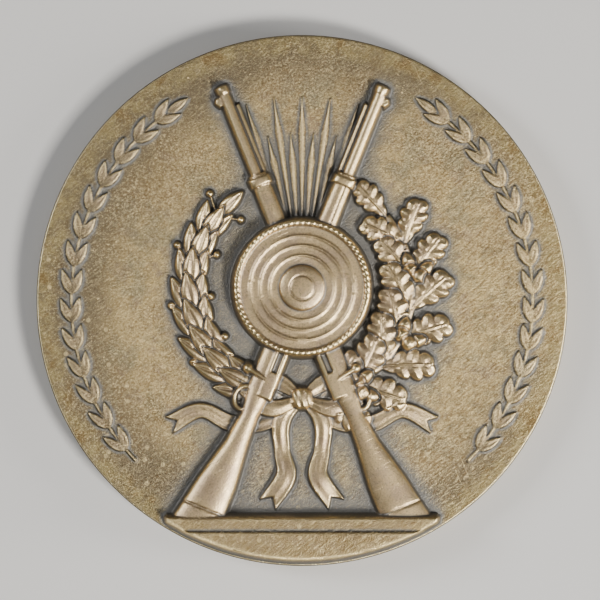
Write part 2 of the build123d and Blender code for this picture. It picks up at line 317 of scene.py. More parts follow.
def carve(where, inside, height):
    """Sets the heights inside a form."""
    heights[where] = np.where(inside, height, heights[where])


def cut_round(where, inside):
    """Cuts a thin line into what lies round a form of the wreath."""
    carve(where, inside & (heights[where] > LEAF_WALL + CUT_DEPTH), heights[where] - CUT_DEPTH)


def dome(across, power=2.0):
    """A rounded section: 1 in the middle, 0 at 1 or -1."""
    return np.maximum(1 - np.clip(np.abs(across), 0, 1) ** power, 0) ** (1 / power)


def eased(share):
    """0 to 1 with soft ends."""
    share = np.clip(share, 0, 1)
    return share * share * (3 - 2 * share)


def groove(distance, width):
    """1 on a line, falling to 0 within about twice the width."""
    return np.exp(-((distance / width) ** 2))


def unevenness(chance, reach, height):
    """Random waves of a reach and usual height."""
    waves = softened(chance.standard_normal(grid_x.shape).astype(np.float32), reach)
    return waves * height / waves.std()


def softened(field, radius):
    """The field blurred over a radius in millimetres."""
    across = np.fft.rfftfreq(field.shape[1])[None]
    up = np.fft.fftfreq(field.shape[0])[:, None]
    spread = np.exp(-2 * pi**2 * (radius / GRID_STEP) ** 2 * (across**2 + up**2))
    return np.fft.irfft2(np.fft.rfft2(field) * spread, field.shape).astype(np.float32)


# Leaves and acorns

def tilt(share):
    """A leaf's rise along its length: low at its base and highest past its middle."""
    rise = np.sin(pi / 2 * np.clip(share / LEAF_TOP_SHARE, 0, 1))
    drop = np.clip(share - LEAF_TOP_SHARE, 0, 1)
    return LEAF_BASE_RISE + (1 - LEAF_BASE_RISE) * rise - LEAF_TIP_DROP * drop


def leaf_place(x, y, heading, length, bend):
    """The grid round a leaf, the share of its length, and the distance from its bent midrib."""
    where = window_round(x, y, length * 1.1)
    along, across = turned(where, x, y, heading)
    return where, along / length, across - bend * length * (along / length) ** 2


def cut_round_leaf(where, share, across, half, length):
    """Cuts a thin line round a leaf, except at its base."""
    beside = np.abs(across) < half + CUT_WIDTH
    cut_round(where, within(share, 0.1, 1 + CUT_WIDTH / length) & beside)


def petal(x, y, heading, length, width, wall, crest, bend=0.0):
    """A pointed leaf that swells on both sides of its bent midrib."""
    where, share, across = leaf_place(x, y, heading, length, bend)
    half = width / 2 * np.clip(4 * share * (1 - share), 1e-6, 1) ** 0.85 * (1.12 - 0.3 * share)
    edge = np.clip(np.abs(across) / half, 0, 1)
    swell = 0.66 + 0.34 * np.sin(pi * edge**0.8)
    lift = np.clip(1 - 3 * share, 0, 1) * 0.3
    height = wall + (crest - wall) * tilt(share) * (swell + lift * (1 - edge))
    cut_round_leaf(where, share, across, half, length)
    carve(where, within(share, 0, 1) & (edge < 1), height)


def lobed_half(share):
    """Half an oak leaf's width, as a share of its widest, with an arc for each lobe."""
    half = np.zeros_like(share)
    for start, start_half, end, end_half, lobe_half in OAK_LOBES:
        between = (share - start) / (end - start)
        chord = start_half + (end_half - start_half) * between
        bulge = (lobe_half - (start_half + end_half) / 2) * dome(2 * between - 1)
        half = np.where((between >= 0) & (between <= 1), chord + bulge, half)
    return half


def oak_leaf(x, y, heading, length, width, wall, crest, bend=0.0):
    """A lobed leaf with a swelling and a vein in each lobe."""
    where, share, across = leaf_place(x, y, heading, length, bend)
    share = share - 0.10 * np.abs(across) / (width / 2)
    half = width / 2 * lobed_half(share)
    edge = np.abs(across) / np.maximum(half, 1e-3)
    section = 0.60 + 0.40 * np.cos(pi / 2 * np.clip(edge, 0, 1) ** 1.6)
    rib = MIDRIB_HEIGHT * groove(across, 0.06 + 0.05 * (1 - share)) * (share < 0.94)
    beside = 0.05 * groove(np.abs(across) - 0.17, 0.085) * (share < 0.9)
    height = wall + (crest - wall) * tilt(share) * section + rib - beside
    lobe_place = (share - 0.125) / 0.24
    swell = LOBE_SWELL * np.cos(2 * pi * lobe_place) * eased((np.abs(across) - 0.12) / 0.3)
    vein = VEIN_HEIGHT * groove(np.abs(lobe_place - np.round(lobe_place)) * 0.24 * length, 0.05)
    height += (swell + vein * (np.abs(across) > 0.1)) * eased((1 - edge) / 0.15)
    cut_round_leaf(where, share, across, half, length)
    carve(where, within(share, 0.02, 1) & (edge < 1), height)


def berry(x, y, heading):
    """A round berry on a short stalk."""
    where = window_round(x, y, 2 * BERRY_REACH)
    along, across = turned(where, x, y, heading)
    edge = across / STALK_HALF
    lay(where, within(along, 0, BERRY_REACH) & (np.abs(edge) < 1), LEAF_WALL + STALK_HEIGHT * dome(edge))
    apart = np.hypot(along - BERRY_REACH, across) / BERRY_RADIUS
    lay(where, apart < 1, LEAF_WALL + BERRY_HEIGHT * dome(apart))


def acorn(x, y, heading, lift):
    """A nut with a point, in a cup with a net of scales."""
    where = window_round(x, y, ACORN_LENGTH * 1.3)
    along, across = turned(where, x, y, heading)

    def oval(middle, half_length, half_width, ply, scales=0.0):
        """Lays the nut or the cup."""
        apart = np.hypot((along / ACORN_LENGTH - middle) / half_length, across / ACORN_RADIUS / half_width)
        cut_round(where, apart < 1 + CUT_WIDTH / ACORN_RADIUS)
        lay(where, apart < 1, lift + half_width * ACORN_RADIUS * dome(apart) + scales, ply)

    oval(*NUT, 0.08)
    point_length, point_radius = ACORN_POINT
    point = np.hypot((along - 1.03 * ACORN_LENGTH) / point_length, across / point_radius)
    lay(where, point < 1, lift + point_radius * dome(point), 0.05)
    pitch_along, pitch_across = SCALE_PITCH
    net = np.cos(2 * pi * along / pitch_along) * np.cos(2 * pi * across / pitch_across)
    oval(*CUP, 0.05, SCALE_HEIGHT * net)


def rays():
    """A fan of narrow rays between the muzzles, long and short in turn."""
    for ray in range(RAY_COUNT):
        reach = RAY_SHORT if ray % 2 else RAY_LONG
        along, across = turned(WHOLE, 0, TARGET_RISE, 90 + RAY_FAN * (ray / (RAY_COUNT - 1) - 0.5))
        half = RAY_WIDTH / 2 * np.interp(along / reach, (0.25, 0.82, 1.0), (0.3, 1.0, 0.04))
        edge = np.abs(across) / half
        lay(WHOLE, (edge < 1) & within(along, 0, reach), RAY_CREST * (0.35 + 0.65 * (1 - edge)))


def sprig(side):
    """A low laurel sprig along the rim at the left (-1) or right (1)."""
    radius = medal_radius - SPRIG_INSET
    apart = (grid_radius - radius) / (SPRIG_STEM_WIDTH / 2)
    turn = np.degrees(np.arctan2(grid_y, side * grid_x))
    on_stem = (np.abs(apart) < 1) & within(turn, SPRIG_START, SPRIG_END)
    lay(WHOLE, on_stem, SPRIG_STEM_HEIGHT * (0.5 + 0.7 * dome(apart)))
    step = (SPRIG_END - SPRIG_START) / SPRIG_STATIONS
    for station in range(SPRIG_STATIONS + 1):
        last = station == SPRIG_STATIONS
        angle = SPRIG_END if last else SPRIG_START + step * (station + 0.5)
        x, y = side * radius * cos(radians(angle)), radius * sin(radians(angle))
        for spread in (0.0,) if last else (-SPRIG_SPREAD, SPRIG_SPREAD):
            petal(
                x, y, 90 + side * (angle + spread), SPRIG_LEAF_LENGTH, SPRIG_LEAF_WIDTH,
                SPRIG_WALL, SPRIG_CREST, bend=-0.10 * side * np.sign(spread),
            )


def wreath_stem():
    """The stem of both branches, up to their last leaves."""
    apart = (np.hypot(grid_x, grid_y - TARGET_RISE) - WREATH_RADIUS) / (WREATH_STEM_WIDTH / 2)
    turn = np.degrees(np.arctan2(np.abs(grid_x), TARGET_RISE - grid_y))
    on_stem = (np.abs(apart) < 1) & (turn < WREATH_END)
    lay(WHOLE, on_stem, WREATH_STEM_HEIGHT * (0.6 + 0.4 * dome(apart)))


def branch(side, stations):
    """A branch's stations from its tip down: number, place, heading and the leaves' size."""
    step = (WREATH_END - WREATH_START) / stations
    for station in reversed(range(stations + 1)):
        angle = WREATH_START + step * station
        x = side * WREATH_RADIUS * sin(radians(angle))
        y = TARGET_RISE - WREATH_RADIUS * cos(radians(angle))
        yield station, x, y, 90 + side * (angle - 90), 1 - 0.2 * (station / stations) ** 2


def laurel(chance):
    """The left branch: three leaves to a station, and berries beside every other one."""
    for station, x, y, heading, grow in branch(-1, LAUREL_STATIONS):
        last = station == LAUREL_STATIONS
        for spread in (0.0,) if last else (LAUREL_SPREAD, -LAUREL_SPREAD, 0.0):
            lift = 0.0 if spread else TOP_LEAF_LIFT
            petal(
                x, y, heading + spread + chance.uniform(-4, 4), LAUREL_LENGTH * grow, LAUREL_WIDTH * grow,
                LEAF_WALL + lift, LEAF_CREST + lift, bend=-0.12 * np.sign(spread) - 0.05,
            )
        if station % 2:
            berry(x, y, heading - 58)
            berry(x, y, heading + 58)


def oak(chance):
    """The right branch: two leaves to a station, and acorns on every other one."""
    for station, x, y, heading, grow in branch(1, OAK_STATIONS):
        last = station == OAK_STATIONS
        for spread in (0.0,) if last else (-OAK_SPREAD, OAK_SPREAD):
            lift = TOP_LEAF_LIFT if spread > 0 else 0.0
            oak_leaf(
                x, y, heading + spread + chance.uniform(-4, 4), OAK_LENGTH * grow, OAK_WIDTH * grow,
                LEAF_WALL + lift, LEAF_CREST + lift, bend=0.10 * np.sign(spread),
            )
        if station % 2 and not last:
            acorn(x, y, heading + 10, ACORN_LIFT - 0.1)
            acorn(x + 0.3, y - 0.4, heading - 46, ACORN_LIFT - 0.25)


# The ribbon

def smooth_line(points, samples=96):
    """Many points on a smooth line through the given ones."""
    points = np.array(points, float)
    points = np.vstack([2 * points[0] - points[1], points, 2 * points[-1] - points[-2]])
    spans = len(points) - 3
    t = np.linspace(0, 1, samples // spans, endpoint=False)[:, None]
    line = []
    for span in range(spans):
        a, b, c, d = points[span:span + 4]
        straight, curved, swung = c - a, 2 * a - 5 * b + 4 * c - d, 3 * b - a - 3 * c + d
        line.append((2 * b + straight * t + curved * t**2 + swung * t**3) / 2)
    return np.vstack(line + [points[-2][None]])


def along_line(where, line):
    """Each place's share along a line and distance to its left, and the line's length."""
    x, y = grid_x[where], grid_y[where]
    steps = np.diff(line, axis=0)
    lengths = np.hypot(steps[:, 0], steps[:, 1])
    starts = np.concatenate([[0], np.cumsum(lengths)])
    nearest = np.full(x.shape, 1e9, np.float32)
    share, aside = np.zeros_like(x), np.zeros_like(x)
    for start, step, length, begun in zip(line, steps / lengths[:, None], lengths, starts):
        dx, dy = x - start[0], y - start[1]
        along = np.clip(dx * step[0] + dy * step[1], 0, length)
        apart = np.hypot(dx - along * step[0], dy - along * step[1])
        nearer = apart < nearest
        nearest = np.where(nearer, apart, nearest)
        share = np.where(nearer, (begun + along) / starts[-1], share)
        aside = np.where(nearer, np.sign(step[0] * dy - step[1] * dx) * apart, aside)
    return share, aside, starts[-1]


def ribbon_run(rows, side, reach, drop, height, folds=2.0, fork=0.0, ply=0.12):
    """A run of ribbon from the knot outwards, with folds along it and turned-up edges."""
    across, rise, halves, stands = np.array(rows).T
    points = np.stack([side * across * reach, knot_y + rise * drop], axis=1)
    edge_room = max(halves) * RIBBON_WIDTH * 1.3
    where = window(*(points.min(axis=0) - edge_room), *(points.max(axis=0) + edge_room))
    share, aside, length = along_line(where, smooth_line(points))
    place = share * (len(rows) - 1)
    edge = aside / np.interp(place, range(len(rows)), halves * RIBBON_WIDTH)
    stand = np.interp(np.floor(place) + eased(place % 1), range(len(rows)), stands * height)
    short_of_fork = (1 - share) * length > fork * (1 - np.abs(edge))
    inside = (np.abs(edge) < 1) & within(share, 0, 1) & short_of_fork
    surface = stand * (0.74 + 0.26 * np.sqrt(np.clip(1 - 0.85 * edge**2, 0, 1)))
    surface += FOLD_HEIGHT * np.cos(folds * pi * edge) * (0.4 + 0.6 * np.exp(-3 * share))
    surface += FOLD_HEIGHT * groove(np.abs(edge) - 0.9, 0.08)
    lay(where, inside, surface, ply)


def ribbons():
    """Streamers and tails, then the bow's loops over them, and the knot on top."""
    for side in (-1, 1):
        ribbon_run(STREAMER_ROWS, side, STREAMER_REACH, STREAMER_REACH, STREAMER_HEIGHT, fork=FORK_DEPTH)
        ribbon_run(TAIL_ROWS, side, TAIL_SWING, TAIL_DROP, TAIL_HEIGHT, fork=FORK_DEPTH)
    for side in (-1, 1):
        for rows in (BOW_TOP_ROWS, BOW_FRONT_ROWS):
            ribbon_run(rows, side, BOW_REACH, BOW_REACH, BOW_HEIGHT, folds=1.5)
    where = window_round(0, knot_y, 2 * KNOT_RADIUS)
    x, y = grid_x[where] / KNOT_RADIUS, (grid_y[where] - knot_y) / KNOT_RADIUS
    room = np.clip(1 - np.abs(x) ** 2.6 - np.abs(y) ** 2.6, 0, 1)
    creases = CREASE_HEIGHT * np.cos(2 * pi * (1.6 * x + 0.5 * y))
    lay(where, room > 0, KNOT_HEIGHT * (0.58 + 0.42 * room**0.45) + creases, 0.1)


# The rifles

def rifle(side, height):
    """A rifle seen from its side, with its butt at the left (-1) or right (1)."""
    butt_x, butt_y = side * below_cross * lean_sin, TARGET_RISE - below_cross * lean_cos
    along, up = turned(WHOLE, butt_x, butt_y, 90 + side * RIFLE_LEAN)
    up = side * up
    share = along / rifle_length
    shares, tops, bellies = zip(*STOCK_ROWS)
    top = np.interp(share, shares, tops) * rifle_length
    belly = np.interp(share, shares, bellies) * rifle_length
    middle, half = (top - belly) / 2, (top + belly) / 2
    edge = (up - middle) / half

    on_stock = within(share, 0, shares[-1]) & (np.abs(edge) < 1)
    carve(WHOLE, on_stock, height + STOCK_DEPTH * (dome(edge, 2.3) - 1))
    plate_line = PLATE_LINE[0] * groove(along - BUTT_PLATE, PLATE_LINE[1])
    carve(WHOLE, on_stock & (share < 0.1), heights - plate_line)
    hand_groove = HAND_GROOVE[0] * groove(up - middle - 0.30 * half, HAND_GROOVE[1])
    carve(WHOLE, on_stock & within(share, *HAND_GROOVE_SPAN), heights - hand_groove)

    lock = within(share, *LOCK_SPAN) & within(up, -0.12, tops[4] * rifle_length + 0.1)
    lay(WHOLE, lock, height - 0.06 + 0.2 * dome((up - PORT_UP) / 0.72, 3))
    carve(WHOLE, within(share, *PORT_SPAN) & (np.abs(up - PORT_UP) < PORT_HALF), height - PORT_DEPTH)

    def lay_round(part, edge, radius, depth):
        """Lays a rounded form along a part of the rifle, a depth under its top."""
        lay(WHOLE, part & (np.abs(edge) < 1), height - depth + radius * dome(edge))

    bore = BARREL_RADIUS * (1 - BARREL_TAPER * np.clip((share - BARREL_START_SHARE) / 0.5, 0, 1))
    lay_round(within(share, BARREL_START_SHARE, 1), up / bore, bore, BARREL_RADIUS)
    crown = CROWN_SWELL * bore
    lay_round(within(share, *CROWN_SPAN), up / crown, crown, BARREL_RADIUS)
    rod_edge = (up + BARREL_RADIUS + ROD_GAP) / ROD_RADIUS
    lay_round(within(share, *ROD_SPAN), rod_edge, ROD_RADIUS, ROD_DEPTH)

    for at in BAND_SHARES:
        from_middle = np.abs(along - at * rifle_length)
        on_band = (from_middle < BAND_LENGTH / 2) & (np.abs(up - middle) < half + BAND_PROUD)
        bulge = height + BAND_PROUD + 0.6 * (dome((up - middle) / (half + BAND_PROUD), 2.8) - 1)
        lay(WHOLE, on_band, bulge - 0.06 * eased((from_middle - 0.24) / 0.14))

    guard_along = (along - GUARD_SHARE * rifle_length) / GUARD_STRETCH
    guard_up = up + np.interp(GUARD_SHARE, shares, bellies) * rifle_length
    ring = (np.hypot(guard_along, guard_up) - GUARD_RADIUS + GUARD_THICKNESS / 2) / (GUARD_THICKNESS / 2)
    lay_round(guard_up < 0.2, ring, 0.16, GUARD_DEPTH)
    trigger = np.abs(guard_along - 0.1 + 0.3 * guard_up) < TRIGGER_HALF
    lay(WHOLE, trigger & within(guard_up, -0.55, 0.2), height - GUARD_DEPTH - 0.05)

    bolt_along = along - BOLT_SHARE * rifle_length
    lay_round(within(up, -BOLT_LENGTH, 0.3), (bolt_along + 0.18 * up) / BOLT_RADIUS, BOLT_RADIUS, 0.05)
    knob = np.hypot(bolt_along - 0.18 * BOLT_LENGTH, up + BOLT_LENGTH) / BOLT_BALL_RADIUS
    lay_round(True, knob, BOLT_BALL_RADIUS, 0.28)

    for at in SIGHT_SHARES:
        from_middle = np.abs(along - at * rifle_length)
        sight_top = BARREL_RADIUS + SIGHT_HEIGHT - 0.6 * from_middle
        lay(WHOLE, (from_middle < SIGHT_LENGTH / 2) & within(up, 0, sight_top), height - SIGHT_DEPTH)


# The plinth, the target and the strike

STRIKE_BLUR = 0.045
FIELD_FADE = 0.5


def plinth(chance):
    """Two steps at the foot, with rounded edges and a little unevenness."""
    outer = medal_radius - PLINTH_RIM_GAP
    waves = unevenness(chance, *PLINTH_WAVES)
    for rise, inset, height in (
        (PLINTH_RISE, PLINTH_STEP_INSET, PLINTH_BACK_HEIGHT),
        (PLINTH_STEP_RISE, 0.0, PLINTH_FRONT_HEIGHT),
    ):
        top_y = rise - medal_radius
        half_width = sqrt(outer**2 - top_y**2) - inset
        room = np.minimum(np.minimum(top_y - grid_y, outer - grid_radius), half_width - np.abs(grid_x))
        slope = PLINTH_ROUND * (1 - np.sqrt(1 - (1 - np.clip(room / PLINTH_ROUND, 0, 1)) ** 2))
        lay(WHOLE, room > 0, height - slope + waves)


def target():
    """A board with a roped rim, raised rings and a domed bull's-eye with a groove."""
    x, y = grid_x, grid_y - TARGET_RISE
    from_centre = np.hypot(x, y)
    height = np.full_like(x, TARGET_HEIGHT)
    ring_pitch = (TARGET_RADIUS - TARGET_MOULDING - BULL_RADIUS) / (RING_COUNT + 1)
    for ring in range(RING_COUNT):
        height += RING_HEIGHT * groove(from_centre - BULL_RADIUS - ring_pitch * (ring + 1), RING_WIDTH / 2.4)
    moulding = (from_centre - TARGET_RADIUS + TARGET_MOULDING / 2) / (TARGET_MOULDING / 2)
    twist = np.cos(ROPE_TURNS * np.arctan2(y, x) + ROPE_TWIST * moulding)
    roped = TARGET_HEIGHT + TARGET_MOULDING / 2 * dome(moulding) * (0.86 + 0.14 * twist)
    height = np.where(moulding > -1, np.maximum(height, roped), height)
    bull = from_centre / BULL_RADIUS
    bulge = BULL_STEP + (BULL_HEIGHT - BULL_STEP) * np.sqrt(np.clip(1 - 0.9 * bull**2, 0, 1))
    height += np.where(bull < 1, bulge, 0)
    height -= BULL_GROOVE[0] * groove(from_centre - 0.55 * BULL_RADIUS, BULL_GROOVE[1])
    carve(WHOLE, from_centre < TARGET_RADIUS, height)


def draft(field, slope=3.5, reach=0.3):
    """Gives every wall a draft, as a die needs: none is steeper than the slope."""
    for _ in range(int(reach / GRID_STEP)):
        lower = field - slope * GRID_STEP
        for axis in (0, 1):
            for shift in (-1, 1):
                field = np.maximum(field, np.roll(lower, shift, axis))
    return field


chance = np.random.default_rng(11)
rays()
sprig(-1)
sprig(1)
wreath_stem()
laurel(chance)
oak(chance)
ribbons()
rifle(1, RIFLE_UNDER_HEIGHT)
rifle(-1, RIFLE_OVER_HEIGHT)
plinth(chance)
target()
top_height = TARGET_HEIGHT + BULL_HEIGHT
struck = np.minimum(softened(draft(heights), STRIKE_BLUR), top_height)
inside_field = np.clip((field_radius - grid_radius) / FIELD_FADE, 0, 1)
struck = np.clip(struck + unevenness(chance, *FIELD_WAVES), 0, top_height) * inside_field

# Where the silver keeps its dark toning or is rubbed bright, by its height against its neighbours'
RECESS_TERMS = (
    # reach, difference left clean, most that counts, weight
    (0.14, 0.0, 0.13, 8.0),
    (0.26, 0.02, 0.20, 1.2),
    (0.60, 0.0, 0.50, 0.4),
    (1.60, 0.0, 0.60, 0.6),
)
RUBBED_TERMS = (
    (0.14, 0.0, 0.10, 6.0),
    (0.60, 0.0, 0.50, 0.2),
)
SLOPE_FREE, SLOPE_MOST, SLOPE_WEIGHT = 0.9, 1.5, 0.30
RIM_SHARE_LOST = 0.6
TONE_BLUR = 0.04
RUBBED_LOST = 1.5


def against_neighbours(terms, sign):
    """How far each place lies under (1) or over (-1) its neighbours, by the terms."""
    total = np.zeros_like(struck)
    for reach, free, most, weight in terms:
        total += weight * np.clip(sign * (softened(struck, reach) - struck) - free, 0, most)
    return total


slope_y, slope_x = np.gradient(struck, GRID_STEP)
recess = against_neighbours(RECESS_TERMS, 1)
recess += SLOPE_WEIGHT * np.clip(np.hypot(slope_x, slope_y) - SLOPE_FREE, 0, SLOPE_MOST)
recess *= 1 - RIM_SHARE_LOST * eased((grid_radius - medal_radius + 1.0) / 0.5)
recess = np.clip(softened(recess, TONE_BLUR), 0, 1)
rubbed = softened(against_neighbours(RUBBED_TERMS, -1), TONE_BLUR)
rubbed = np.clip(rubbed - RUBBED_LOST * recess, 0, 1)


# Meshing: right-angled triangles on a square that is mapped to the disc

SQUARE_CELLS = 1024
RIM_STEPS = 128
HEIGHT_TOLERANCE = 0.013
TONE_TOLERANCE = 0.30
HIGH_TONE_TOLERANCE = 0.13
SPRIG_LOOSER = 1.4
EDGE_RINGS = 4


def sampled(field, x, y):
    """The field between its grid points."""
    column = (x - grid_axis[0]) / GRID_STEP
    row = (y - grid_axis[0]) / GRID_STEP
    left, low = column.astype(int), row.astype(int)
    right_share, up_share = column - left, row - low
    lower = field[low, left] * (1 - right_share) + field[low, left + 1] * right_share
    upper = field[low + 1, left] * (1 - right_share) + field[low + 1, left + 1] * right_share
    return lower * (1 - up_share) + upper * up_share


def disc_places(rows, columns):
    """The places in the field of points on the square."""
    u, v = 2 * columns / SQUARE_CELLS - 1, 2 * rows / SQUARE_CELLS - 1
    return field_radius * u * np.sqrt(1 - v**2 / 2), field_radius * v * np.sqrt(1 - u**2 / 2)


def needs(fields, kept):
    """How much each point of the square is needed: over 1 where it can't be left out.

    The fields come as (values, tolerances). The kept points are needed without limit.
    """
    need = np.where(kept, np.inf, 0).astype(np.float32)
    flipped = [(field.T, tolerance.T) for field, tolerance in fields]

    def missed(layers, middle, start, end):
        """The largest miss at a middle point read off its two ends."""
        misses = [
            np.abs(field[middle] - (field[start] + field[end]) / 2) / tolerance[middle]
            for field, tolerance in layers
        ]
        return np.max(misses, axis=0)

    span = 2
    while span <= SQUARE_CELLS:
        half, quarter = span // 2, span // 4
        every, middles = slice(None, None, span), slice(half, None, span)
        starts, ends = slice(0, SQUARE_CELLS, span), slice(span, None, span)
        for grid, layers in ((need, fields), (need.T, flipped)):
            level = grid[every, middles]
            np.maximum(level, missed(layers, (every, middles), (every, starts), (every, ends)), out=level)
            if quarter:
                finer = grid[quarter::half, quarter::half]
                pairs = np.maximum(finer[:, 0::2], finer[:, 1::2])
                np.maximum(level[:-1], pairs[0::2], out=level[:-1])
                np.maximum(level[1:], pairs[1::2], out=level[1:])
        level, upright, centre = need[every, middles], need[middles, every], need[middles, middles]
        rising = missed(fields, (middles, middles), (starts, starts), (ends, ends))
        falling = missed(fields, (middles, middles), (starts, ends), (ends, starts))
        own = np.where(sum(np.indices(centre.shape)) % 2 == 0, rising, falling)
        for side in (own, level[:-1], level[1:], upright[:, :-1], upright[:, 1:]):
            np.maximum(centre, side, out=centre)
        span *= 2
    return need


def split_square(need):
    """The square's triangles, split wherever a long side's middle is needed."""
    corners = SQUARE_CELLS * np.array([[[1, 1], [0, 0], [0, 1]], [[0, 0], [1, 1], [1, 0]]])
    whole = []
    while len(corners):
        ends = corners[:, 0] + corners[:, 1]
        middle = ends // 2
        split = (ends % 2 == 0).all(axis=1) & (need[middle[:, 0], middle[:, 1]] > 1)
        whole.append(corners[~split])
        a, b, c = (corners[split, corner] for corner in range(3))
        m = middle[split]
        corners = np.concatenate([np.stack([c, a, m], axis=1), np.stack([b, c, m], axis=1)])
    whole = np.concatenate(whole)
    return whole[..., 0] * (SQUARE_CELLS + 1) + whole[..., 1]


def meshed_square(need):
    """The rows and columns of the points in use, and the triangles by those points."""
    numbers, triangles = np.unique(split_square(need), return_inverse=True)
    rows, columns = np.divmod(numbers, SQUARE_CELLS + 1)
    return rows, columns, triangles.reshape(-1, 3)


def rim_order(rows, columns):
    """The points on the rim, in order round the disc."""
    rim = np.nonzero((rows % SQUARE_CELLS == 0) | (columns % SQUARE_CELLS == 0))[0]
    x, y = disc_places(rows[rim], columns[rim])
    return rim[np.argsort(np.arctan2(y, x))]


def medal_mesh():
    """The whole medal's points, triangles and normals, and the toning at each point."""
    grid_rows, grid_columns = np.indices((SQUARE_CELLS + 1, SQUARE_CELLS + 1))
    on_rim = np.ones(grid_rows.shape, bool)
    on_rim[1:-1, 1:-1] = False
    evenly = on_rim & ((grid_rows + grid_columns) % (SQUARE_CELLS // RIM_STEPS) == 0)
    places = disc_places(grid_rows, grid_columns)
    same = np.ones(grid_rows.shape, np.float32)
    struck_here = sampled(struck, *places)
    on_slopes = (1 + sampled(slope_x, *places) ** 2 + sampled(slope_y, *places) ** 2) ** 0.75
    on_sprig = np.abs(np.hypot(*places) - medal_radius + SPRIG_INSET) < SPRIG_LEAF_WIDTH * 1.8
    looser = np.where(on_sprig, SPRIG_LOOSER, 1.0)
    tone_tolerance = np.where(struck_here > LEAF_WALL + 0.1, HIGH_TONE_TOLERANCE, TONE_TOLERANCE)
    fields = [
        (struck_here, HEIGHT_TOLERANCE * on_slopes * looser),
        (sampled(recess, *places), tone_tolerance),
        (sampled(rubbed, *places), TONE_TOLERANCE * same),
    ]
    need = needs(fields, evenly)
    rows, columns, face = meshed_square(need)
    x, y = disc_places(rows, columns)
    points = [np.stack([x, y, EDGE_THICKNESS + sampled(struck, x, y)], axis=1)]
    leans = np.stack([-sampled(slope_x, x, y), -sampled(slope_y, x, y), np.ones_like(x)], axis=1)
    normals = [leans / np.linalg.norm(leans, axis=1)[:, None]]
    tones = np.stack([sampled(recess, x, y), sampled(rubbed, x, y)], axis=1)
    triangles = [face]

    # The edge: rings from the field's rim round to the reverse
    rim = rim_order(rows, columns)
    outward = np.stack([x[rim], y[rim], 0 * x[rim]], axis=1) / field_radius
    up = np.array([0, 0, 1.0])
    count = len(points[0])
    ring = rim
    turns = [step * pi / 2 / EDGE_RINGS for step in range(2 * EDGE_RINGS + 1)]
    steps = [(turn, EDGE_THICKNESS - EDGE_ROUND) for turn in turns[1:EDGE_RINGS + 1]]
    steps += [(turn, EDGE_ROUND) for turn in turns[EDGE_RINGS:]]
    for turn, centre_z in steps:
        radius = field_radius + EDGE_ROUND * sin(turn)
        points.append(radius * outward + (centre_z + EDGE_ROUND * cos(turn)) * up)
        normals.append(sin(turn) * outward + cos(turn) * up)
        following = count + np.arange(len(rim))
        next_ring, next_following = np.roll(ring, -1), np.roll(following, -1)
        triangles.append(np.stack([ring, following, next_following], axis=1))
        triangles.append(np.stack([ring, next_following, next_ring], axis=1))
        ring = following
        count += len(rim)

    # The reverse, which shares the last ring's points
    rows, columns, face = meshed_square(needs([(0 * same, same)], on_rim & (need > 1)))
    back_rim = rim_order(rows, columns)
    x, y = disc_places(rows, columns)
    inner = np.ones(len(x), bool)
    inner[back_rim] = False
    number = np.zeros(len(x), int)
    number[back_rim] = ring
    number[inner] = count + np.arange(inner.sum())
    points.append(np.stack([x[inner], y[inner], 0 * x[inner]], axis=1))
    normals.append(np.tile([0, 0, -1.0], (inner.sum(), 1)))
    triangles.append(number[face][:, ::-1])
    points = np.vstack(points)
    tones = np.pad(tones, ((0, len(points) - len(tones)), (0, 0)))
    return points, np.vstack(triangles), np.vstack(normals), tones


def build_medal():
    """The medal as one smooth piece, its toning kept at its points."""
    points, triangles, normals, tones = medal_mesh()
    mesh = bpy.data.meshes.new("struck_medal")
    mesh.from_pydata((points * MM).tolist(), [], triangles.tolist())
    mesh.shade_smooth()
    for name, values in zip(("recess", "rubbed"), tones.T):
        mesh.attributes.new(name, "FLOAT", "POINT").data.foreach_set("value", values.astype(np.float32))
    mesh.normals_split_custom_set_from_vertices(normals.astype(np.float32))
    piece = bpy.data.objects.new("struck_medal", mesh)
    bpy.context.scene.collection.objects.link(piece)
    return piece


# Materials

class Shader:
    """A material's nodes, whose inputs are numbers, colours or other nodes' outputs."""

    def __init__(self, name):
        self.material = bpy.data.materials.new(name)
        self.material.use_nodes = True
        self.tree = self.material.node_tree
        self.surface = self.tree.nodes["Principled BSDF"]

    def node(self, kind, output=0, **values):
        """A new node's output. The values are settings, or inputs by name or by number, as in i0."""
        node = self.tree.nodes.new("ShaderNode" + kind)
        for key, value in values.items():
            if hasattr(node, key):
                setattr(node, key, value)
            else:
                self.feed(node.inputs[int(key[1:]) if key[1:].isdigit() else key], value)
        return node.outputs[output]

    def feed(self, socket, value):
        """Links an output to an input, or sets the input to a value."""
        if isinstance(value, bpy.types.NodeSocket):
            self.tree.links.new(value, socket)
        else:
            socket.default_value = (*value, 1.0) if socket.type == "RGBA" else value

    def math(self, operation, first, second=0.0, third=0.0):
        return self.node("Math", operation=operation, i0=first, i1=second, i2=third)

    def times(self, first, second):
        return self.math("MULTIPLY", first, second)

    def add_scaled(self, rest, value, factor):
        """The rest and the value times the factor."""
        return self.math("MULTIPLY_ADD", value, factor, rest)

    def vector(self, operation, output=0, **inputs):
        return self.node("VectorMath", output, operation=operation, **inputs)

    def mix(self, share, first, second):
        """A colour between two others."""
        return self.node("Mix", 2, data_type="RGBA", i0=share, i6=first, i7=second)

    def between(self, value, low, high, to_low=0.0, to_high=1.0, kind="SMOOTHSTEP"):
        """The value, from one range to another."""
        ranges = {"From Min": low, "From Max": high, "To Min": to_low, "To Max": to_high}
        return self.node("MapRange", interpolation_type=kind, Value=value, **ranges)

    def noise(self, place, scale, detail=2.0, roughness=0.5):
        return self.node("TexNoise", Vector=place, Scale=scale, Detail=detail, Roughness=roughness)

    def surface_input(self, name, value):
        """Links or sets one of the surface's inputs."""
        self.feed(self.surface.inputs[name], value)


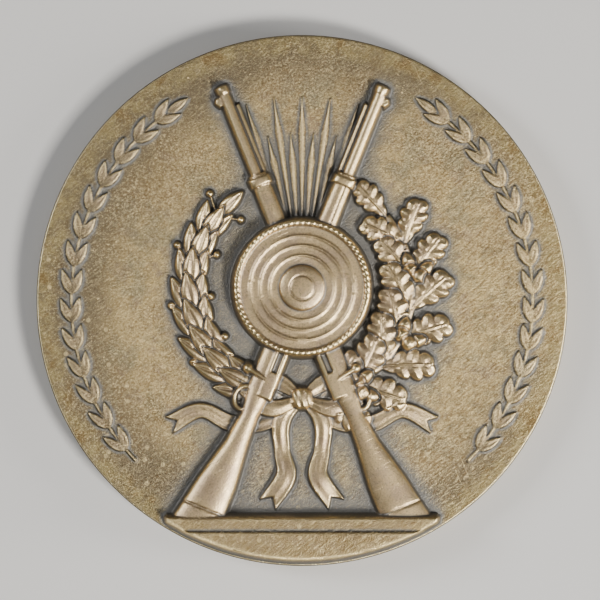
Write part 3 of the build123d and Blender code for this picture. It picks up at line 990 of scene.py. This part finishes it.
# The toning's colours, as the shader takes them
SILVER = (0.565, 0.425, 0.200)
SILVER_GREY = (0.435, 0.325, 0.170)
SILVER_DULL = (0.29, 0.225, 0.125)
SILVER_BRIGHT = (1.0, 0.80, 0.42)
RECESS_TONE = (0.240, 0.235, 0.224)
RELIEF_TONE = (0.92, 0.69, 0.385)
RELIEF_LILAC = (0.72, 0.53, 0.335)
HALO_TONE = (0.242, 0.242, 0.220)
COOL_TONE = (0.275, 0.255, 0.165)
# Browner toning towards the rim, also laid as painted shade
OUTER_TONE_AND_SHADE = (0.185, 0.15, 0.097)
LILAC_TONE = (0.36, 0.265, 0.185)
OLIVE_TONE = (0.25, 0.215, 0.13)
RIM_TONE = (0.40, 0.32, 0.14)
STAIN_TONE = (0.20, 0.12, 0.045)
PLINTH_TONE = (0.34, 0.25, 0.115)
# Painted shade on the edge's wall
WALL_PAINTED_SHADE = (0.11, 0.09, 0.06)
# The bright line along the edge: partly wear, partly a painted highlight
EDGE_WEAR_AND_HIGHLIGHT_TONE = (0.98, 0.84, 0.52)
GLANCING_TINT = (0.80, 0.68, 0.48)

# The silver's patterns
PATTERNS = {
    # name: scale to a millimetre, octaves, roughness
    "patches": (0.14, 3.0, 0.60),
    "mottle": (1.1, 4.0, 0.65),
    "tints": (0.55, 4.0, 0.60),
    "blotches": (0.42, 4.0, 0.60),
    "cool": (0.24, 3.0, 0.60),
    "clusters": (0.12, 1.0, 0.50),
    "flecks": (2.6, 2.0, 0.50),
    "grain": (5.5, 3.0, 0.70),
    "pits": (3.4, 2.0, 0.50),
    "blast": (6.0, 3.0, 0.65),
}
LINE_PATTERNS = {
    # name: heading, scale along, scale across, octaves, roughness
    "hatching": (38.0, 1.2, 5.5, 2.0, 0.70),
    "hairs": (8.0, 0.16, 7.0, 1.0, 0.50),
    "cross_hairs": (112.0, 0.22, 8.0, 1.0, 0.50),
    "scratches": (24.0, 0.25, 7.0, 2.0, 0.50),
}

# The tones that follow a pattern, in the order of laying
FIELD_TONES = (
    # pattern, from, to, most of the tone, tone
    ("patches", 0.37, 0.63, 1.0, SILVER),
    ("mottle", 0.50, 0.72, 0.7, SILVER_DULL),
    ("tints", 0.52, 0.68, 0.5, LILAC_TONE),
    ("blotches", 0.48, 0.34, 0.6, OLIVE_TONE),
    ("cool", 0.50, 0.64, 0.55, COOL_TONE),
)
GRAIN_TONES = (
    ("grain", 0.50, 0.66, 0.60, SILVER_BRIGHT),
    ("grain", 0.50, 0.33, 0.80, STAIN_TONE),
    ("hatching", 0.52, 0.70, 0.46, SILVER_BRIGHT),
    ("hatching", 0.48, 0.32, 0.55, STAIN_TONE),
)
HAIR_TONES = (
    ("hairs", 0.73, 0.79, 0.4, SILVER_BRIGHT),
    ("cross_hairs", 0.73, 0.79, 0.4, SILVER_BRIGHT),
)
RELIEF_SPOT_TONES = (
    ("grain", 0.52, 0.30, 0.45, SILVER_DULL),
    ("pits", 0.64, 0.74, 0.6, SILVER_DULL),
    ("flecks", 0.69, 0.75, 0.7, SILVER_BRIGHT),
)

# Where the tones lie: from and to, in millimetres or as a share, then how much of the tone at each
RAISED = (EDGE_THICKNESS + 0.16, EDGE_THICKNESS + 0.50)
FOOT = (plinth_top + 0.2, plinth_top - 0.4)
# Darker towards the rim: browner toning, with painted shade heavier at the left and lower down, and spared
# at the right
OUTER = (medal_radius - 5.5, medal_radius - 0.5, 0.0, 0.92)
OUTER_AT_RIGHT = (0.75, 1.0, 1.0, 0.25)
# Painted shade over the upper left, and more lightly over the lower right
PAINTED_SHADE_UPPER_LEFT = (-15.0, -23.0, 0.0, 0.42)
PAINTED_SHADE_LOWER_RIGHT = (15.0, 22.0, 0.0, 0.20)
RIM_BAND = (medal_radius - 1.1, medal_radius + 0.4, 0.0, 0.65)
STAINED = (medal_radius - 2.6, medal_radius - 0.5, 0.0, 0.6)
HALO = (0.03, 0.34, 0.0, 0.75)
HATCHED = (-0.2, 0.9, 0.40, 1.0)
SPOTTED = (-15.0, -21.0)
DARK = (0.05, 0.74, 0.0, 0.95)
BRIGHT = (0.06, 0.54, 0.0, 0.92)
AT_EDGE = (medal_radius - 0.12, medal_radius - 0.07)
# The wall that gets painted shade, and how much it gets from foot to top
WALL = (EDGE_THICKNESS - 0.018, EDGE_THICKNESS - 0.045)
WALL_SHADE = (EDGE_THICKNESS - 0.7, EDGE_THICKNESS - 0.2, 0.45, 0.97)
# Where the bright edge line lies, partly wear and partly painted highlight, and how much fainter it is at
# the top
WEAR_AND_HIGHLIGHT_BAND = (medal_radius - 0.14, medal_radius - 0.09)
WEAR_AND_HIGHLIGHT_AT_TOP = (0.75, 0.2, 0.25, 1.0)

# The light spots: cells to a millimetre, their sizes in cells, and which cells have one
SPOT_CELLS = 0.55
SPOT = (0.15, 0.08, 0.0, 0.42)
SPOT_CHOICE = (0.74, 0.76)

# How high the blasted surface's bumps stand
BUMP_HEIGHT = 0.08


class TonedSilver(Shader):
    """Sandblasted silver, mottled warm and grey, dark in recesses and rubbed on crests, with painted shade
    towards the rim and on the edge's wall, and a painted highlight along the edge.
    """

    def __init__(self):
        super().__init__("toned_silver")
        self.find_places()
        self.tone_field()
        self.lay_grain()
        self.tone_relief()
        self.wear_and_highlight_edge()
        self.surface_input("Base Color", self.colour)
        self.surface_input("Metallic", 1.0)
        self.surface_input("Specular Tint", GLANCING_TINT)
        self.finish_surface()

    def find_places(self):
        """Each point's place in millimetres, how deep and exposed it is, and its patterns."""
        self.mm = self.vector("SCALE", i0=self.node("TexCoord", output=3), Scale=1 / MM)
        flat = self.vector("MULTIPLY", i0=self.mm, i1=(1.0, 1.0, 0.0))
        self.from_centre = self.vector("LENGTH", output=1, i0=flat)
        self.aside, self.up, self.height = (self.node("SeparateXYZ", axis, i0=self.mm) for axis in range(3))
        self.down_right = self.add_scaled(self.aside, self.up, -0.6)
        self.recess, self.rubbed = (
            self.node("Attribute", 2, attribute_name=name) for name in ("recess", "rubbed")
        )
        raised = self.between(self.height, *RAISED)
        self.on_plinth = self.times(raised, self.between(self.up, *FOOT))
        self.raised = self.math("SUBTRACT", raised, self.on_plinth)
        self.patterns = {name: self.noise(self.mm, *values) for name, values in PATTERNS.items()}
        for name, (heading, along, across, detail, roughness) in LINE_PATTERNS.items():
            place = self.node("VectorRotate", Vector=self.mm, Axis=(0.0, 0.0, 1.0), Angle=-radians(heading))
            place = self.vector("MULTIPLY", i0=place, i1=(along, across, 1.0))
            self.patterns[name] = self.noise(place, 1.0, detail, roughness)

    def pattern(self, name, *span):
        """A share that follows a pattern over a span of its values."""
        return self.between(self.patterns[name], *span)

    def towards(self, direction):
        """A direction, as a share of the distance from the centre."""
        return self.math("DIVIDE", direction, self.from_centre)

    def coat(self, tone, share, by=1.0):
        """Lays a tone over the colour so far, by a share of a share."""
        self.colour = self.mix(self.times(share, by), self.colour, tone)

    def coat_patterns(self, rows, **shares):
        """Lays tones that follow patterns, by the shares given for them."""
        for name, low, high, most, tone in rows:
            strength = self.pattern(name, low, high, 0.0, most)
            self.coat(tone, strength, shares.get(name, 1.0))

    def tone_field(self):
        """A mottled field, darker outwards with browner toning and painted shade, a golden rim and plinth,
        and a halo round the relief.
        """
        self.colour = SILVER_GREY
        self.coat_patterns(FIELD_TONES)
        # Browner towards the rim, partly toning and partly painted shade: most at the left and lower down,
        # least at the right
        outer = self.add_scaled(self.from_centre, self.patterns["patches"], 4.0)
        outer = self.add_scaled(outer, self.aside, -0.07)
        outer = self.add_scaled(outer, self.up, -0.03)
        spared = self.between(self.towards(self.aside), *OUTER_AT_RIGHT)
        self.shade = self.times(self.between(outer, *OUTER), spared)
        self.coat(OUTER_TONE_AND_SHADE, self.shade)
        # Painted shade over the upper left and the lower right
        for span in (PAINTED_SHADE_UPPER_LEFT, PAINTED_SHADE_LOWER_RIGHT):
            self.coat(OUTER_TONE_AND_SHADE, self.between(self.down_right, *span))
        band = self.between(self.add_scaled(self.from_centre, self.patterns["tints"], 2.5), *RIM_BAND)
        self.coat(RIM_TONE, band, self.pattern("mottle", 0.36, 0.60, 0.25, 1.0))
        stained = self.between(self.from_centre, *STAINED)
        self.coat(STAIN_TONE, stained, self.pattern("blotches", 0.54, 0.64))
        self.coat(SILVER_GREY, self.on_plinth, 0.7)
        self.coat(PLINTH_TONE, self.on_plinth, self.pattern("mottle", 0.44, 0.58, 0.0, 0.6))
        self.halo = self.between(self.recess, *HALO)
        self.coat(HALO_TONE, self.halo, self.math("SUBTRACT", 1.0, self.raised))

    def lay_grain(self):
        """Sandblasted grain, hatching, light spots at the lower left, and hairs."""
        grain_share = self.pattern("patches", 0.36, 0.60, 1.0, 0.6)
        for place, change in ((self.on_plinth, -0.3), (self.halo, -0.35), (self.shade, -0.3)):
            grain_share = self.add_scaled(grain_share, place, change)
        hatched = self.between(self.towards(self.down_right), *HATCHED)
        self.coat_patterns(GRAIN_TONES, grain=grain_share, hatching=hatched)
        from_spot, spot_colour = (
            self.node("TexVoronoi", output, voronoi_dimensions="2D", Vector=self.mm, Scale=SPOT_CELLS)
            for output in (0, 1)
        )
        chosen = self.between(self.node("SeparateColor", i0=spot_colour), *SPOT_CHOICE)
        light_spots = self.times(self.between(from_spot, *SPOT), chosen)
        spotted = self.between(self.math("ADD", self.aside, self.up), *SPOTTED)
        self.coat(SILVER_BRIGHT, light_spots, spotted)
        self.coat_patterns(HAIR_TONES)

    def tone_relief(self):
        """Lighter relief with pits and flecks, dark recesses and bright crests."""
        relief_tone = self.mix(self.pattern("tints", 0.42, 0.62), RELIEF_TONE, RELIEF_LILAC)
        self.coat(relief_tone, self.raised, 0.8)
        clusters = self.pattern("clusters", 0.46, 0.58)
        self.coat_patterns(RELIEF_SPOT_TONES, grain=self.raised, pits=self.raised, flecks=clusters)
        uneven = self.pattern("mottle", 0.25, 0.75, -0.08, 0.08, "LINEAR")
        self.dark = self.between(self.math("ADD", self.recess, uneven), *DARK)
        self.coat(RECESS_TONE, self.dark)
        self.bright = self.between(self.math("ADD", self.rubbed, uneven), *BRIGHT)
        self.coat(SILVER_BRIGHT, self.bright)

    def wear_and_highlight_edge(self):
        """A dark wall of painted shade, and a bright line over it, partly wear and partly a painted
        highlight, fainter at the top.
        """
        self.wall = self.times(self.between(self.height, *WALL), self.between(self.from_centre, *AT_EDGE))
        # Painted shade on the wall, heaviest near its top
        self.coat(WALL_PAINTED_SHADE, self.wall, self.between(self.height, *WALL_SHADE))
        # Bright line at the edge: partly wear, partly a painted highlight where the lamps catch the
        # rounding, fainter at the top
        edge_wear_and_highlight = self.between(self.add_scaled(self.from_centre, self.patterns["tints"], 0.10), *WEAR_AND_HIGHLIGHT_BAND)
        edge_wear_and_highlight = self.times(edge_wear_and_highlight, self.math("SUBTRACT", 1.0, self.wall))
        self.edge_wear_and_highlight = self.times(edge_wear_and_highlight, self.between(self.towards(self.up), *WEAR_AND_HIGHLIGHT_AT_TOP))
        self.coat(EDGE_WEAR_AND_HIGHLIGHT_TONE, self.edge_wear_and_highlight)

    def finish_surface(self):
        """Matt, smoother where rubbed, rougher in recesses, with fine bumps and a few scratches."""
        rough = self.pattern("mottle", 0.3, 0.7, 0.43, 0.50, "LINEAR")
        smoother = ((self.raised, -0.06), (self.bright, -0.11), (self.edge_wear_and_highlight, -0.12))
        rougher = ((self.dark, 0.12), (self.wall, 0.08))
        for place, change in smoother + rougher:
            rough = self.add_scaled(rough, place, change)
        self.surface_input("Roughness", rough)
        bumps = self.add_scaled(self.patterns["blast"], self.pattern("scratches", 0.68, 0.74), -0.3)
        strength = self.add_scaled(1.0, self.raised, -0.65)
        bump = self.node("Bump", Height=bumps, Strength=strength, Distance=BUMP_HEIGHT * MM)
        self.surface_input("Normal", bump)


# The scene

FLOOR_SIZE = 3.0
FLOOR_TONES = ((0.76, 0.75, 0.73), (0.80, 0.79, 0.77))
LIGHTS = (
    # name, place, size, watts, colour
    ("key", (270, -230, 390), (120, 120), 2.9, (1.0, 0.97, 0.92)),
    ("edge", (430, -60, 110), (100, 220), 1.2, (1.0, 0.98, 0.95)),
    ("left", (-360, 120, 300), (120, 200), 1.0, (0.97, 0.98, 1.0)),
    ("top", (0, 0, 480), (300, 300), 0.09, (1.0, 1.0, 1.0)),
)
WORLD_COLOUR = (0.97, 0.98, 1.0)
WORLD_STRENGTH = 0.07
PIXEL_MM = 50.0 / 531
PHOTO_PIXELS = 600
PHOTO_CENTRE = (302.0, 300.5)
LENS_MM = 200.0
SENSOR_MM = 36.0
FOCUS_HEIGHT = 3.0


def area_light(name, place, size, watts, colour):
    """A soft rectangular light that faces the medal."""
    lamp = bpy.data.lights.new(name, "AREA")
    lamp.shape = "RECTANGLE"
    lamp.size, lamp.size_y = (side * MM for side in size)
    lamp.energy = watts
    lamp.color = colour
    light = bpy.data.objects.new(name, lamp)
    light.location = [axis * MM for axis in place]
    light.rotation_euler = (-light.location).to_track_quat("-Z", "Y").to_euler()
    bpy.context.scene.collection.objects.link(light)


def dim_world():
    """A faint even light from all round."""
    world = bpy.data.worlds.new("studio")
    world.use_nodes = True
    background = world.node_tree.nodes["Background"]
    background.inputs["Color"].default_value = (*WORLD_COLOUR, 1.0)
    background.inputs["Strength"].default_value = WORLD_STRENGTH
    bpy.context.scene.world = world


def camera():
    """Straight above the medal, framed as in the photograph."""
    lens = bpy.data.cameras.new("camera")
    lens.lens = LENS_MM
    lens.sensor_width = SENSOR_MM
    eye = bpy.data.objects.new("camera", lens)
    distance = PIXEL_MM * PHOTO_PIXELS * LENS_MM / SENSOR_MM
    aside = (PHOTO_PIXELS / 2 - PHOTO_CENTRE[0]) * PIXEL_MM
    up = (PHOTO_CENTRE[1] - PHOTO_PIXELS / 2) * PIXEL_MM
    eye.location = (aside * MM, up * MM, (FOCUS_HEIGHT + distance) * MM)
    bpy.context.scene.collection.objects.link(eye)
    bpy.context.scene.camera = eye


def floor():
    """A matt pale floor with the faintest unevenness of tone."""
    bpy.ops.mesh.primitive_plane_add(size=FLOOR_SIZE)
    plane = bpy.context.object
    plane.name = "floor"
    shader = Shader("pale_floor")
    cloud = shader.noise(shader.node("TexCoord", output=3), 9.0, detail=3.0)
    shader.surface_input("Base Color", shader.mix(shader.between(cloud, 0.3, 0.7), *FLOOR_TONES))
    shader.surface_input("Roughness", 0.9)
    plane.data.materials.append(shader.material)


medal = build_medal()
medal.data.materials.append(TonedSilver().material)
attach(medal, "root")
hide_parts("medal")

floor()
for light in LIGHTS:
    area_light(*light)
dim_world()
camera()
